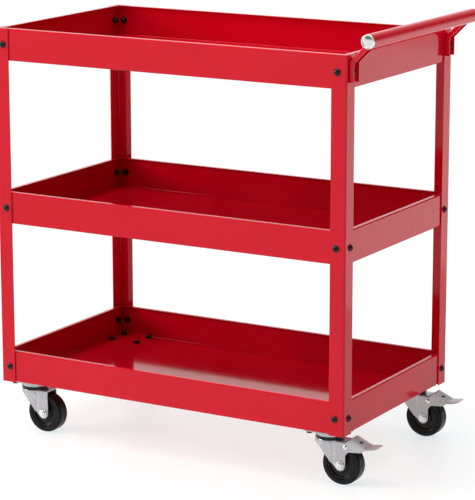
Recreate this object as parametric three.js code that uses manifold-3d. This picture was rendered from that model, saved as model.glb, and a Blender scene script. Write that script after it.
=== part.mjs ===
// Three-shelf steel tool cart on four swivel casters, two of them with a foot brake.
// Millimetres, +Z up. The long side of the shelves runs along X, the push handle is at the +X end,
// the floor is z = 0 and the origin is the middle of the overall box on the floor.
import * as THREE from "three";
import { mergeVertices } from "three/addons/utils/BufferGeometryUtils.js";
import Module from "manifold-3d";

const wasm = await Module();
wasm.setup();

// ---------------------------------------------------------------- driving dimensions
const GAP = 0.3; // clearance kept between touching pieces

const FRAME_X = 368; // half length over the legs
const FRAME_Y = 208; // half width over the legs
const LEG_FLANGE = 30; // width of each leg flange
const LEG_T = 2; // leg sheet thickness
const LEG_BEND = 3.5; // outside bend radius of a leg

const TRAY_H = 60; // height of a tray wall
const TRAY_T = 1.2; // tray sheet thickness
const TRAY_LIP = 9; // width of the rim turned inwards
const TRAY_PITCH = 308; // from one tray to the next
const TRAY_Z = 99; // underside of the lowest tray
const LEG_Z0 = 98; // foot of the legs
const LEG_Z1 = TRAY_Z + 2 * TRAY_PITCH + TRAY_H; // top of the legs, flush with the top rim

const BOLT_IN = 18.5; // corner bolts, from the outer edge of the leg
const BOLT_R = 3; // shank radius
const HOLE_R = 3.8;
const HEAD_R = 6.5; // domed head radius
const HEAD_H = 5;

const HANDLE_X = 409; // axis of the handle tube, from the middle of the frame
const HANDLE_Z = 801.2;
const HANDLE_R = 12.7;
const HANDLE_WALL = 1.5;
const HANDLE_HALF = 209; // half length of the tube without its caps
const CAP_T = 3.4;

const BRACKET_W = 21.5; // width of a handle bracket along Y
const BRACKET_D = 9; // depth of its channel
const BRACKET_T = 2;
const BRACKET_Z0 = 727; // lower end
const BRACKET_BEND_Z = 764; // where it turns outwards at 45 degrees

const WHEEL_R = 37.5;
const WHEEL_HALF = 12.5;
const TRAIL = 28.5; // kingpin to axle
const KING_X = 320; // kingpins, from the middle of the frame
const KING_Y = 168;
const PLATE_X = 39; // half length of the top plate
const PLATE_Y = 33;
const PLATE_T = 2.5;
const PLATE_BOLT_X = 29.5;
const PLATE_BOLT_Y = 23;
const CROWN_Z0 = 79.5; // underside of the fork crown
const CROWN_Z1 = 82;
const RACE_Z = 87.7; // top of the fork's raceway
const FORK_OUT = 16; // half width over the fork
const FORK_T = 2.2;
const PEDAL_OUT = 18.4; // half width over the pedal
const PEDAL_IN = 16.4;
const PIVOT = [40, 73]; // pedal pivot, from the kingpin, X and Z
const BRAKE_TRAVEL = 12; // degrees from free to braked

// ---------------------------------------------------------------- solids
const toSolid = (geometry) => {
  const g = geometry.index ? geometry.toNonIndexed() : geometry.clone();
  g.deleteAttribute("normal");
  g.deleteAttribute("uv");
  const m = mergeVertices(g, 1e-3);
  const idx = m.index.array;
  const tri = [];
  for (let i = 0; i < idx.length; i += 3) {
    const [a, b, c] = [idx[i], idx[i + 1], idx[i + 2]];
    if (a !== b && b !== c && c !== a) tri.push(a, b, c);
  }
  const make = (t) =>
    new wasm.Manifold(
      new wasm.Mesh({
        numProp: 3,
        vertProperties: new Float32Array(m.attributes.position.array),
        triVerts: new Uint32Array(t),
      }),
    );
  const s = make(tri);
  if (s.volume() >= 0) return s;
  const turned = [];
  for (let i = 0; i < tri.length; i += 3) turned.push(tri[i], tri[i + 2], tri[i + 1]);
  return make(turned);
};
const toGeometry = (solid) => {
  const mesh = solid.getMesh();
  const g = new THREE.BufferGeometry();
  const v = mesh.vertProperties;
  const n = mesh.numProp;
  const p = new Float32Array((v.length / n) * 3);
  for (let i = 0; i < v.length / n; i++)
    for (let k = 0; k < 3; k++) p[i * 3 + k] = v[i * n + k];
  g.setAttribute("position", new THREE.BufferAttribute(p, 3));
  g.setIndex(Array.from(mesh.triVerts));
  const flat = g.toNonIndexed();
  flat.computeVertexNormals();
  return flat;
};
const box = (x0, x1, y0, y1, z0, z1) =>
  toSolid(
    new THREE.BoxGeometry(x1 - x0, y1 - y0, z1 - z0).translate(
      (x0 + x1) / 2,
      (y0 + y1) / 2,
      (z0 + z1) / 2,
    ),
  );
const shapeOf = (pts) => new THREE.Shape(pts.map(([x, y]) => new THREE.Vector2(x, y)));
// a plan outline raised from z0 to z1
const raise = (pts, z0, z1) =>
  toSolid(
    new THREE.ExtrudeGeometry(shapeOf(pts), {
      depth: z1 - z0,
      bevelEnabled: false,
      steps: 1,
    }).translate(0, 0, z0),
  );
// a side outline in X and Z, carried from y0 to y1
const across = (pts, y0, y1) =>
  toSolid(
    new THREE.ExtrudeGeometry(shapeOf(pts), {
      depth: y1 - y0,
      bevelEnabled: false,
      steps: 1,
    })
      .rotateX(Math.PI / 2)
      .translate(0, y1, 0),
  );
// a turned piece: profile of [radius, height] about Z
const turned = (profile, segments) =>
  toSolid(
    new THREE.LatheGeometry(
      profile.map(([r, h]) => new THREE.Vector2(r, h)),
      segments,
    ).rotateX(Math.PI / 2),
  );
const rodZ = (r, x, y, z0, z1, seg = 12) =>
  toSolid(
    new THREE.CylinderGeometry(r, r, z1 - z0, seg)
      .rotateX(Math.PI / 2)
      .translate(x, y, (z0 + z1) / 2),
  );
const rodY = (r, x, z, y0, y1, seg = 12) =>
  toSolid(new THREE.CylinderGeometry(r, r, y1 - y0, seg).translate(x, (y0 + y1) / 2, z));
const rodX = (r, y, z, x0, x1, seg = 12) =>
  toSolid(
    new THREE.CylinderGeometry(r, r, x1 - x0, seg)
      .rotateZ(Math.PI / 2)
      .translate((x0 + x1) / 2, y, z),
  );
const cut = (a, ...rest) => rest.reduce((s, b) => s.subtract(b), a);
const join = (a, ...rest) => rest.reduce((s, b) => s.add(b), a);
const arc = (cx, cy, r, a0, a1, n) =>
  Array.from({ length: n + 1 }, (_, i) => {
    const a = ((a0 + ((a1 - a0) * i) / n) * Math.PI) / 180;
    return [cx + r * Math.cos(a), cy + r * Math.sin(a)];
  });
const roundedRect = (hx, hy, r, n) => [
  ...arc(hx - r, hy - r, r, 0, 90, n),
  ...arc(-hx + r, hy - r, r, 90, 180, n),
  ...arc(-hx + r, -hy + r, r, 180, 270, n),
  ...arc(hx - r, -hy + r, r, 270, 360, n),
];

// ---------------------------------------------------------------- materials
const paint = (c) => new THREE.MeshStandardMaterial({ color: c, roughness: 0.22, metalness: 0.0 });
const MATERIALS = {
  red: () => paint(0xb8121f),
  zinc: () => new THREE.MeshStandardMaterial({ color: 0xc6c8c9, roughness: 0.3, metalness: 1 }),
  chrome: () => new THREE.MeshStandardMaterial({ color: 0xdfe2e1, roughness: 0.12, metalness: 1 }),
  black: () => new THREE.MeshStandardMaterial({ color: 0x121214, roughness: 0.35, metalness: 0.6 }),
  tyre: () => new THREE.MeshStandardMaterial({ color: 0x131113, roughness: 0.45, metalness: 0 }),
  hub: () => new THREE.MeshStandardMaterial({ color: 0x17161a, roughness: 0.35, metalness: 0 }),
  shoe: () => new THREE.MeshStandardMaterial({ color: 0x1a1a1b, roughness: 0.6, metalness: 0 }),
};

const cart = new THREE.Group();
const put = (name, geometry, material, parent = cart) => {
  const mesh = new THREE.Mesh(geometry, MATERIALS[material]());
  mesh.name = name;
  parent.add(mesh);
  return mesh;
};

const CORNERS = [
  ["front_left", -1, -1],
  ["front_right", 1, -1],
  ["back_left", -1, 1],
  ["back_right", 1, 1],
];
const TRAYS = [
  ["bottom", TRAY_Z],
  ["middle", TRAY_Z + TRAY_PITCH],
  ["top", TRAY_Z + 2 * TRAY_PITCH],
];
const boltHeights = TRAYS.map(([, z]) => z + TRAY_H / 2);

// ---------------------------------------------------------------- corner legs: one bent angle, mirrored into each corner
const legOutline = (sx, sy) => {
  const X = FRAME_X;
  const Y = FRAME_Y;
  const pts = [
    [X - LEG_FLANGE, Y],
    [X - LEG_FLANGE, Y - LEG_T],
    ...arc(X - LEG_BEND, Y - LEG_BEND, LEG_BEND - LEG_T, 90, 0, 2),
    [X - LEG_T, Y - LEG_FLANGE],
    [X, Y - LEG_FLANGE],
    ...arc(X - LEG_BEND, Y - LEG_BEND, LEG_BEND, 0, 90, 3),
  ];
  return pts.map(([x, y]) => [sx * x, sy * y]);
};
for (const [corner, sx, sy] of CORNERS) {
  let leg = raise(legOutline(sx, sy), LEG_Z0, LEG_Z1);
  for (const z of boltHeights) {
    leg = cut(
      leg,
      rodY(HOLE_R, sx * (FRAME_X - BOLT_IN), z, sy * FRAME_Y - 6, sy * FRAME_Y + 6, 6),
      rodX(HOLE_R, sy * (FRAME_Y - BOLT_IN), z, sx * FRAME_X - 6, sx * FRAME_X + 6, 6),
    );
  }
  put("leg_" + corner, toGeometry(leg), "red");
}

// ---------------------------------------------------------------- trays: folded pans with a rim turned inwards
const TX = FRAME_X - LEG_T - GAP; // half length over a tray
const TY = FRAME_Y - LEG_T - GAP;
for (const [level, z0] of TRAYS) {
  let tray = raise(roundedRect(TX, TY, 2.2, 2), z0, z0 + TRAY_H);
  tray = cut(
    tray,
    box(-TX + TRAY_T, TX - TRAY_T, -TY + TRAY_T, TY - TRAY_T, z0 + TRAY_T, z0 + TRAY_H - TRAY_T),
    box(-TX + TRAY_LIP, TX - TRAY_LIP, -TY + TRAY_LIP, TY - TRAY_LIP, z0 + TRAY_H / 2, z0 + TRAY_H + 5),
  );
  for (const [, sx, sy] of CORNERS) {
    const z = z0 + TRAY_H / 2;
    tray = cut(
      tray,
      rodY(HOLE_R, sx * (FRAME_X - BOLT_IN), z, sy * TY - 6, sy * TY + 6, 6),
      rodX(HOLE_R, sy * (FRAME_Y - BOLT_IN), z, sx * TX - 6, sx * TX + 6, 6),
    );
    if (level === "bottom")
      for (const bx of [-PLATE_BOLT_X, PLATE_BOLT_X])
        for (const by of [-PLATE_BOLT_Y, PLATE_BOLT_Y])
          tray = cut(tray, rodZ(HOLE_R, sx * KING_X + bx, sy * KING_Y + by, z0 - 3, z0 + 6, 6));
  }
  put("tray_" + level, toGeometry(tray), "red");
}

// ---------------------------------------------------------------- corner bolts: domed head outside, domed nut inside, one through each leg flange
const boltGeometry = (seat) => {
  // +Z is outwards from the leg's outer face; the head sits at height seat
  const inner = -(LEG_T + GAP + TRAY_T + GAP);
  return toGeometry(
    turned(
      [
        [0, seat + HEAD_H],
        [4.6, seat + HEAD_H - 1.2],
        [HEAD_R, seat],
        [BOLT_R, seat],
        [BOLT_R, inner],
        [6.2, inner],
        [6.2, inner - 3],
        [0, inner - 6],
      ],
      8,
    ),
  );
};
for (const [level, z0] of TRAYS)
  for (const [corner, sx, sy] of CORNERS) {
    const z = z0 + TRAY_H / 2;
    const side = put("bolt_" + level + "_" + corner + "_side", boltGeometry(GAP), "black");
    side.rotation.x = sy > 0 ? -Math.PI / 2 : Math.PI / 2;
    side.position.set(sx * (FRAME_X - BOLT_IN), sy * FRAME_Y, z);
    const atBracket = level === "top" && sx > 0;
    const end = put(
      "bolt_" + level + "_" + corner + "_end",
      boltGeometry(atBracket ? GAP + BRACKET_T + GAP : GAP),
      "black",
    );
    end.rotation.y = sx > 0 ? Math.PI / 2 : -Math.PI / 2;
    end.position.set(sx * FRAME_X, sy * (FRAME_Y - BOLT_IN), z);
  }

// ---------------------------------------------------------------- push handle: tube, end caps and two bent channel brackets
{
  const tube = cut(
    rodY(HANDLE_R, HANDLE_X, HANDLE_Z, -HANDLE_HALF, HANDLE_HALF, 24),
    rodY(HANDLE_R - HANDLE_WALL, HANDLE_X, HANDLE_Z, -HANDLE_HALF - 1, HANDLE_HALF + 1, 24),
  );
  put("handle_tube", toGeometry(tube), "red");

  const cap = toGeometry(
    turned(
      [
        [0, CAP_T],
        [10.5, CAP_T - 0.3],
        [12.9, CAP_T - 2],
        [12.9, GAP],
        [HANDLE_R - HANDLE_WALL - 0.5, GAP],
        [HANDLE_R - HANDLE_WALL - 0.5, -12],
        [0, -12],
      ],
      16,
    ),
  );
  for (const [end, sy] of [
    ["front", -1],
    ["back", 1],
  ]) {
    const mesh = put("handle_cap_" + end, cap, "chrome");
    mesh.rotation.x = sy > 0 ? -Math.PI / 2 : Math.PI / 2;
    mesh.position.set(HANDLE_X, sy * HANDLE_HALF, HANDLE_Z);
  }

  const x0 = FRAME_X + GAP;
  const z1 = BRACKET_BEND_Z;
  const run = HANDLE_X - x0 - 4; // far enough to end inside the tube
  const slip = BRACKET_D * Math.tan(Math.PI / 8);
  const outline = (near, far) => [
    [x0 + near, BRACKET_Z0 - (near > 0 ? 5 : 0)],
    [x0 + far, BRACKET_Z0 - (near > 0 ? 5 : 0)],
    [x0 + far, z1 - far * Math.tan(Math.PI / 8)],
    [x0 + far + run, z1 - far * Math.tan(Math.PI / 8) + run],
    [x0 + near + run - (near > 0 ? -3 : 0), z1 - near * Math.tan(Math.PI / 8) + run + (near > 0 ? 3 : 0)],
    [x0 + near, z1 - near * Math.tan(Math.PI / 8)],
  ];
  for (const [end, sy] of [
    ["front", -1],
    ["back", 1],
  ]) {
    const mid = sy * (FRAME_Y - BOLT_IN);
    const bracket = cut(
      across(outline(0, BRACKET_D), mid - BRACKET_W / 2, mid + BRACKET_W / 2),
      across(
        outline(BRACKET_T, BRACKET_D + 12),
        mid - BRACKET_W / 2 + BRACKET_T,
        mid + BRACKET_W / 2 - BRACKET_T,
      ),
      rodY(HANDLE_R + GAP + 0.1, HANDLE_X, HANDLE_Z, mid - 30, mid + 30, 24),
      rodX(HOLE_R, mid, TRAY_Z + 2 * TRAY_PITCH + TRAY_H / 2, x0 - 5, x0 + 5, 8),
    );
    const pieces = bracket.decompose();
    pieces.sort((a, b) => b.volume() - a.volume());
    put("handle_bracket_" + end, toGeometry(pieces[0]), "red");
  }
}

// ---------------------------------------------------------------- casters
const plateSolid = () => {
  const z0 = TRAY_Z - GAP - PLATE_T;
  let s = raise(roundedRect(PLATE_X, PLATE_Y, 7, 2), z0, z0 + PLATE_T);
  // pressed upper raceway and the kingpin with its flat head under the fork crown
  s = join(
    s,
    turned(
      [
        [0, z0 + 1],
        [24, z0 + 1],
        [26, z0 - 1],
        [26, RACE_Z + 0.5],
        [6, RACE_Z + 0.5],
        [6, CROWN_Z0 - GAP],
        [10, CROWN_Z0 - GAP],
        [10, CROWN_Z0 - GAP - 2.4],
        [0, CROWN_Z0 - GAP - 3.4],
      ],
      14,
    ),
  );
  // four mounting bolts: head under the plate, domed nut above the tray floor
  const top = TRAY_Z + TRAY_T + GAP;
  for (const bx of [-PLATE_BOLT_X, PLATE_BOLT_X])
    for (const by of [-PLATE_BOLT_Y, PLATE_BOLT_Y])
      s = join(
        s,
        turned(
          [
            [0, top + 6],
            [6.2, top + 3],
            [6.2, top],
            [BOLT_R, top],
            [BOLT_R, z0 + 1],
            [5.8, z0 + 1],
            [5.8, z0 - 3],
            [0, z0 - 5],
          ],
          6,
        ).translate([bx, by, 0]),
      );
  return s;
};
const noseOutline = (a, b, far) => [
  [far, -b],
  ...Array.from({ length: 9 }, (_, i) => {
    const t = (Math.PI * i) / 8;
    return [12 - a * Math.sin(t), -b * Math.cos(t)];
  }),
  [far, b],
];
const forkSolid = (braked) => {
  const right = braked
    ? [[39, 37.5], [39, 58], [46, 65], [47, 72], [45, 79], [39, 80], [38, CROWN_Z1]]
    : [[39, 37.5], [39, 60], [37.5, CROWN_Z1]];
  const side = [
    [-30, CROWN_Z1],
    [-30, 75],
    [-20, 69],
    [-6, 56],
    [8, 41],
    ...arc(TRAIL, WHEEL_R, 10.5, 205, 350, 5),
    ...right,
  ];
  let s = raise(noseOutline(41.5, FORK_OUT, 48), 25, CROWN_Z1).intersect(
    across(side, -FORK_OUT - 1, FORK_OUT + 1),
  );
  s = cut(s, raise(noseOutline(41.5 - FORK_T, FORK_OUT - FORK_T, 60), 20, CROWN_Z0));
  s = join(
    s,
    turned(
      [
        [0, CROWN_Z0],
        [24, CROWN_Z0],
        [25, CROWN_Z0 + 0.8],
        [25, CROWN_Z1],
        [23, CROWN_Z1 + 1],
        [23, RACE_Z],
        [0, RACE_Z],
      ],
      14,
    ),
  );
  s = cut(s, rodZ(6.9, 0, 0, 70, 95, 10), rodY(4.8, TRAIL, WHEEL_R, -30, 30, 10));
  if (braked) s = cut(s, rodY(3.2, PIVOT[0], PIVOT[1], -30, 30, 8));
  return s;
};
const tyreSolid = () =>
  turned(
    [
      [27.3, -11.5],
      [33.5, -WHEEL_HALF],
      [WHEEL_R, -8.5],
      [WHEEL_R, 8.5],
      [33.5, WHEEL_HALF],
      [27.3, 11.5],
      [27.3, -11.5],
    ],
    24,
  ).rotate([90, 0, 0]);
const hubSolid = () =>
  turned(
    [
      [4.8, -13.3],
      [10.5, -13.3],
      [11.5, -7],
      [22.5, -7],
      [26.6, -11.3],
      [26.6, 11.3],
      [22.5, 7],
      [11.5, 7],
      [10.5, 13.3],
      [4.8, 13.3],
      [4.8, -13.3],
    ],
    16,
  ).rotate([90, 0, 0]);
const axleSolid = () => {
  const seat = FORK_OUT + GAP;
  return join(
    rodZ(4.1, 0, 0, -seat - 5.5, seat + 1, 10),
    rodZ(8.4, 0, 0, seat, seat + 1.6, 12),
    rodZ(7.3, 0, 0, seat + 1, seat + 5, 6),
    rodZ(7.3, 0, 0, -seat - 5, -seat, 6),
  ).rotate([90, 0, 0]); // the head with its washer face looks towards -Y
};
const pedalSolid = () => {
  const [px, pz] = PIVOT;
  const outer = [
    [px - 5.5, pz + 4.5],
    [px - 6.5, pz],
    [px - 5.3, pz - 5],
    [px - 2, pz - 9],
    [71, 67.3],
    [75, 70.5],
    [76.6, 75.4],
    [50, 87],
    [47, 88],
    [43.2, 84.6],
  ];
  const inside = [
    [20, 50],
    [20, 95],
    [43.4, 95],
    [43.4, 82.3],
    [47.3, 85.4],
    [50, 84.6],
    [74.9, 73.7],
    [74.9, 50],
  ];
  let s = cut(
    across(outer, -PEDAL_OUT, PEDAL_OUT),
    across(inside, -PEDAL_IN, PEDAL_IN),
    // long edges of the hood are broken
    box(-5, 60, -4, 4, -4, 4).rotate([45, 0, 0]).rotate([0, 23.5, 0]).translate([44, PEDAL_OUT + 2.2, 92.2]),
    box(-5, 60, -4, 4, -4, 4).rotate([45, 0, 0]).rotate([0, 23.5, 0]).translate([44, -PEDAL_OUT - 2.2, 92.2]),
  );
  const toePlan = [
    [70, -17.5],
    [90, -17.5],
    ...arc(90, -7.5, 10, -90, 0, 3).slice(1),
    ...arc(90, 7.5, 10, 0, 90, 3),
    [70, 17.5],
  ];
  const toeSide = [
    [73.5, 76.6],
    [73.5, 74.2],
    [77, 72.9],
    [80, 73],
    [101, 77.6],
    [101, 79.8],
    [79, 75.3],
  ];
  s = join(s, raise(toePlan, 60, 95).intersect(across(toeSide, -20, 20)));
  s = cut(s, raise(roundedRect(6.5, 2.2, 2, 2).map(([x, y]) => [x + 64, y]), 70, 95));
  for (const sy of [-1, 1]) {
    const a = [sy * 14.2, sy * (PEDAL_OUT - 0.5)].sort((p, q) => p - q);
    const b = [sy * (PEDAL_OUT - 0.5), sy * (PEDAL_OUT + 1.4)].sort((p, q) => p - q);
    s = join(s, rodY(2.6, px, pz, a[0], a[1], 8), rodY(4.4, px, pz, b[0], b[1], 8));
  }
  return s;
};
const shoeSolid = () => {
  const [px, pz] = PIVOT;
  const back = (x, z) => {
    const a = (BRAKE_TRAVEL * Math.PI) / 180;
    const [dx, dz] = [x - px, z - pz];
    return [px + dx * Math.cos(a) - dz * Math.sin(a), pz + dx * Math.sin(a) + dz * Math.cos(a)];
  };
  const face = arc(TRAIL, WHEEL_R, WHEEL_R + 0.8, 61, 43, 4).map(([x, z]) => back(x, z));
  return across([...face, [70.5, 75.1], [55, 81.9]], -11, 11);
};

const plateGeometry = toGeometry(plateSolid());
const forkGeometry = { plain: toGeometry(forkSolid(false)), braked: toGeometry(forkSolid(true)) };
const tyreGeometry = toGeometry(tyreSolid());
const hubGeometry = toGeometry(hubSolid());
const axleGeometry = toGeometry(axleSolid());
const pedalGeometry = toGeometry(pedalSolid());
const shoeGeometry = toGeometry(shoeSolid());
for (const [corner, sx, sy] of CORNERS) {
  const caster = new THREE.Group();
  caster.position.set(sx * KING_X, sy * KING_Y, 0);
  cart.add(caster);
  const braked = sx > 0;
  put("caster_plate_" + corner, plateGeometry, "zinc", caster);
  put("caster_fork_" + corner, braked ? forkGeometry.braked : forkGeometry.plain, "zinc", caster);
  const wheel = new THREE.Group();
  wheel.position.set(TRAIL, 0, WHEEL_R);
  caster.add(wheel);
  put("wheel_tyre_" + corner, tyreGeometry, "tyre", wheel);
  put("wheel_hub_" + corner, hubGeometry, "hub", wheel);
  put("axle_bolt_" + corner, axleGeometry, "zinc", wheel);
  if (braked) {
    put("brake_pedal_" + corner, pedalGeometry, "zinc", caster);
    put("brake_shoe_" + corner, shoeGeometry, "shoe", caster);
  }
}

// ---------------------------------------------------------------- origin: middle of the overall box, on the floor
cart.updateMatrixWorld(true);
const bounds = new THREE.Box3().setFromObject(cart, true);
cart.position.set(-(bounds.min.x + bounds.max.x) / 2, -(bounds.min.y + bounds.max.y) / 2, -bounds.min.z);
cart.name = "tool_cart";

export default cart;
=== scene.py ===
"""Looks of a three-tray steel tool cart on swivel casters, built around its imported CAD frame.

Every piece is made by mesh code in millimetres, in the frame of the CAD model, and takes its place
from the CAD nodes' boxes. Nothing else is read from disk.
"""

import math
import random

import bmesh
import bpy
from mathutils import Matrix, Vector


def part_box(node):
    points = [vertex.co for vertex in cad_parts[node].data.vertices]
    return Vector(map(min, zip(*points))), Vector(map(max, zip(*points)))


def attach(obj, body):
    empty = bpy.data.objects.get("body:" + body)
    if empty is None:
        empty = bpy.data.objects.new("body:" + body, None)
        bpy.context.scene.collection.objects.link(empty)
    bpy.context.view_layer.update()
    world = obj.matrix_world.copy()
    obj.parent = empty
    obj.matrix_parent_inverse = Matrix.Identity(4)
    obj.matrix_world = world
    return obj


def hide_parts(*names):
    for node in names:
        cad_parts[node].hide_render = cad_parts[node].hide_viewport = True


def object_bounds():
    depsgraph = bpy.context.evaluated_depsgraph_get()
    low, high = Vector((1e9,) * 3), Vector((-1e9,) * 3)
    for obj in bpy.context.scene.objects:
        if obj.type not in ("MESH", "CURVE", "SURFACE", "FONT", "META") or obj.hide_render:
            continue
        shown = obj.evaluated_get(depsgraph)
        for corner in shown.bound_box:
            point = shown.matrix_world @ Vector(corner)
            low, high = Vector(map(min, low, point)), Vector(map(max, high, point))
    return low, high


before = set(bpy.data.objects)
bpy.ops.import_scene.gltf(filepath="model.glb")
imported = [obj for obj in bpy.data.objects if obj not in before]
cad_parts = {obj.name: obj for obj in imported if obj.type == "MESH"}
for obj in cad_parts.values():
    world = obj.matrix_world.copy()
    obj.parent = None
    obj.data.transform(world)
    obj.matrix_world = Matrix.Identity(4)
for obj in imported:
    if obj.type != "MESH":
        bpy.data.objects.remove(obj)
cad_lo, cad_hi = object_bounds()
MM = 0.001
random.seed(7)


# ------------------------------------------------------------------ sizes read from the frame, in mm
def box_mm(node):
    lo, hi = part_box(node)
    return lo / MM, hi / MM


CORNERS = (("front_left", -1, -1), ("front_right", 1, -1), ("back_left", -1, 1), ("back_right", 1, 1))
LEVELS = ("bottom", "middle", "top")
_l0, _ = box_mm("leg_front_left")
_, _l1 = box_mm("leg_back_right")
XC = (_l0.x + _l1.x) / 2  # middle of the four legs
FRAME_X = (_l1.x - _l0.x) / 2
FRAME_Y = (_l1.y - _l0.y) / 2
LEG_Z0, LEG_Z1 = _l0.z, _l1.z
LEG_T, LEG_F, LEG_BEND = 2.0, 30.0, 3.5
TRAY_T, TRAY_LIP = 1.2, 9.0
BOLT_IN = 18.5


# ------------------------------------------------------------------ mesh building
class Shell:
    """Vertices and faces in mm, gathered before they become one mesh."""

    def __init__(self):
        self.v, self.f = [], []

    def add(self, verts, faces, at=(0, 0, 0), rot=None):
        n = len(self.v)
        at = Vector(at)
        for p in verts:
            p = Vector(p)
            if rot is not None:
                p = rot @ p
            self.v.append(p + at)
        self.f += [tuple(i + n for i in f) for f in faces]
        return self


def arc(cx, cy, r, a0, a1, n):
    return [
        (cx + r * math.cos(math.radians(a0 + (a1 - a0) * i / n)), cy + r * math.sin(math.radians(a0 + (a1 - a0) * i / n)))
        for i in range(n + 1)
    ]


def rounded_rect(hx, hy, r, n=8):
    return arc(hx - r, hy - r, r, 0, 90, n) + arc(r - hx, hy - r, r, 90, 180, n) + arc(r - hx, r - hy, r, 180, 270, n) + arc(hx - r, r - hy, r, 270, 360, n)


def prism(outline, z0, z1):
    """A plan outline raised from z0 to z1."""
    n = len(outline)
    v = [(x, y, z0) for x, y in outline] + [(x, y, z1) for x, y in outline]
    f = [tuple(reversed(range(n))), tuple(range(n, 2 * n))]
    f += [(i, (i + 1) % n, n + (i + 1) % n, n + i) for i in range(n)]
    return v, f


def slab(outline, y0, y1):
    """A side outline in X and Z, carried along Y."""
    v, f = prism(outline, 0, 1)
    return [(x, y0 + (y1 - y0) * t, z) for x, z, t in v], f


def lathe(profile, n, closed=False):
    """A profile of (radius, height) turned about Z; closed rings join their last point to their first."""
    v, f, rings = [], [], []
    for r, z in profile:
        if r < 1e-6:
            rings.append([len(v)])
            v.append((0, 0, z))
        else:
            rings.append(list(range(len(v), len(v) + n)))
            v += [(r * math.cos(2 * math.pi * i / n), r * math.sin(2 * math.pi * i / n), z) for i in range(n)]
    pairs = list(zip(rings, rings[1:])) + ([(rings[-1], rings[0])] if closed else [])
    for a, b in pairs:
        for i in range(n):
            j = (i + 1) % n
            q = [a[i % len(a)], a[j % len(a)], b[j % len(b)], b[i % len(b)]]
            q = list(dict.fromkeys(q))
            if len(q) > 2:
                f.append(tuple(q))
    return v, f


def loft(loops, close_ends=True, wrap=True):
    """Quads between loops of equal length."""
    n = len(loops[0])
    v = [p for loop in loops for p in loop]
    f = []
    for k in range(len(loops) - 1):
        for i in range(n if wrap else n - 1):
            j = (i + 1) % n
            f.append((k * n + i, k * n + j, (k + 1) * n + j, (k + 1) * n + i))
    if close_ends:
        f.append(tuple(reversed(range(n))))
        f.append(tuple(range((len(loops) - 1) * n, len(loops) * n)))
    return v, f


def smooth_path(points, rounds):
    """A polyline of (x, y) with its inner corners rounded by the given radii."""
    out = [Vector(points[0])]
    for i in range(1, len(points) - 1):
        p, a, b = Vector(points[i]), Vector(points[i - 1]), Vector(points[i + 1])
        r = rounds[i - 1]
        if r <= 0:
            out.append(p)
            continue
        u, w = (a - p).normalized(), (b - p).normalized()
        ang = math.acos(max(-1, min(1, u.dot(w))))
        d = r / math.tan(ang / 2)
        c = p + (u + w).normalized() * (r / math.sin(ang / 2))
        s, e = p + u * d, p + w * d
        a0, a1 = math.atan2(*(s - c).yx), math.atan2(*(e - c).yx)
        if a1 - a0 > math.pi:
            a1 -= 2 * math.pi
        if a0 - a1 > math.pi:
            a1 += 2 * math.pi
        for k in range(9):
            t = a0 + (a1 - a0) * k / 8
            out.append(c + Vector((math.cos(t), math.sin(t))) * r)
    out.append(Vector(points[-1]))
    return [(p.x, p.y) for p in out]


def make(name, shell, weld=0.0):
    me = bpy.data.meshes.new(name)
    me.from_pydata([tuple(p * MM) for p in shell.v], [], shell.f)
    bm = bmesh.new()
    bm.from_mesh(me)
    if weld:
        bmesh.ops.remove_doubles(bm, verts=bm.verts, dist=weld * MM)
    bmesh.ops.recalc_face_normals(bm, faces=bm.faces)
    bm.to_mesh(me)
    bm.free()
    ob = bpy.data.objects.new(name, me)
    bpy.context.scene.collection.objects.link(ob)
    return ob


def settle(ob, sharp=32):
    """Turns the object's modifiers into mesh, with smooth faces split at sharp edges."""
    if ob.modifiers:
        bpy.context.view_layer.update()
        dg = bpy.context.evaluated_depsgraph_get()
        me = bpy.data.meshes.new_from_object(ob.evaluated_get(dg))
        old = ob.data
        ob.modifiers.clear()
        ob.data = me
        bpy.data.meshes.remove(old)
        me.name = ob.name
    ob.data.shade_smooth()
    ob.data.set_sharp_from_angle(angle=math.radians(sharp))
    return ob


def bevel(ob, width, segments=2, angle=40):
    m = ob.modifiers.new("bevel", "BEVEL")
    m.width, m.segments, m.limit_method, m.angle_limit = width * MM, segments, "ANGLE", math.radians(angle)
    m.use_clamp_overlap = True
    m.profile = 0.5
    return ob


def carve(ob, shells, name="cutter"):
    for s in shells:
        c = make(name, s)
        m = ob.modifiers.new("cut", "BOOLEAN")
        m.operation, m.solver, m.object = "DIFFERENCE", "EXACT", c
        settle(ob)
        me = c.data
        bpy.data.objects.remove(c)
        bpy.data.meshes.remove(me)
    return ob


def tidy(ob, gap=0.03):
    """Closes up the slivers that cutting leaves, so bends and shading stay clean."""
    bm = bmesh.new()
    bm.from_mesh(ob.data)
    bmesh.ops.remove_doubles(bm, verts=bm.verts, dist=gap * MM)
    bmesh.ops.dissolve_degenerate(bm, dist=gap * MM * 0.5, edges=bm.edges)
    bm.to_mesh(ob.data)
    bm.free()
    return ob


def copy_of(ob, name):
    new = ob.copy()
    new.data = ob.data.copy()
    new.name = name
    new.data.name = name
    bpy.context.scene.collection.objects.link(new)
    return new


def place(ob, at=(0, 0, 0), rot=None):
    """Moves the mesh itself, so the object stays at the origin."""
    m = Matrix.Translation(Vector(at) * MM)
    if rot is not None:
        m = m @ rot.to_4x4()
    ob.data.transform(m)
    return ob


def dress(ob, material, body, stands_for=()):
    # broad faces keep their own normals where they run into a bend or a broken edge
    m = ob.modifiers.new("normals", "WEIGHTED_NORMAL")
    m.mode, m.weight, m.keep_sharp = "FACE_AREA", 90, True
    bpy.context.view_layer.update()
    old = ob.data
    me = bpy.data.meshes.new_from_object(ob.evaluated_get(bpy.context.evaluated_depsgraph_get()))
    ob.modifiers.clear()
    ob.data = me
    bpy.data.meshes.remove(old)
    me.name = ob.name
    ob.data.materials.clear()
    ob.data.materials.append(material)
    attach(ob, body)
    if stands_for:
        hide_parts(*stands_for)
    return ob


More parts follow.
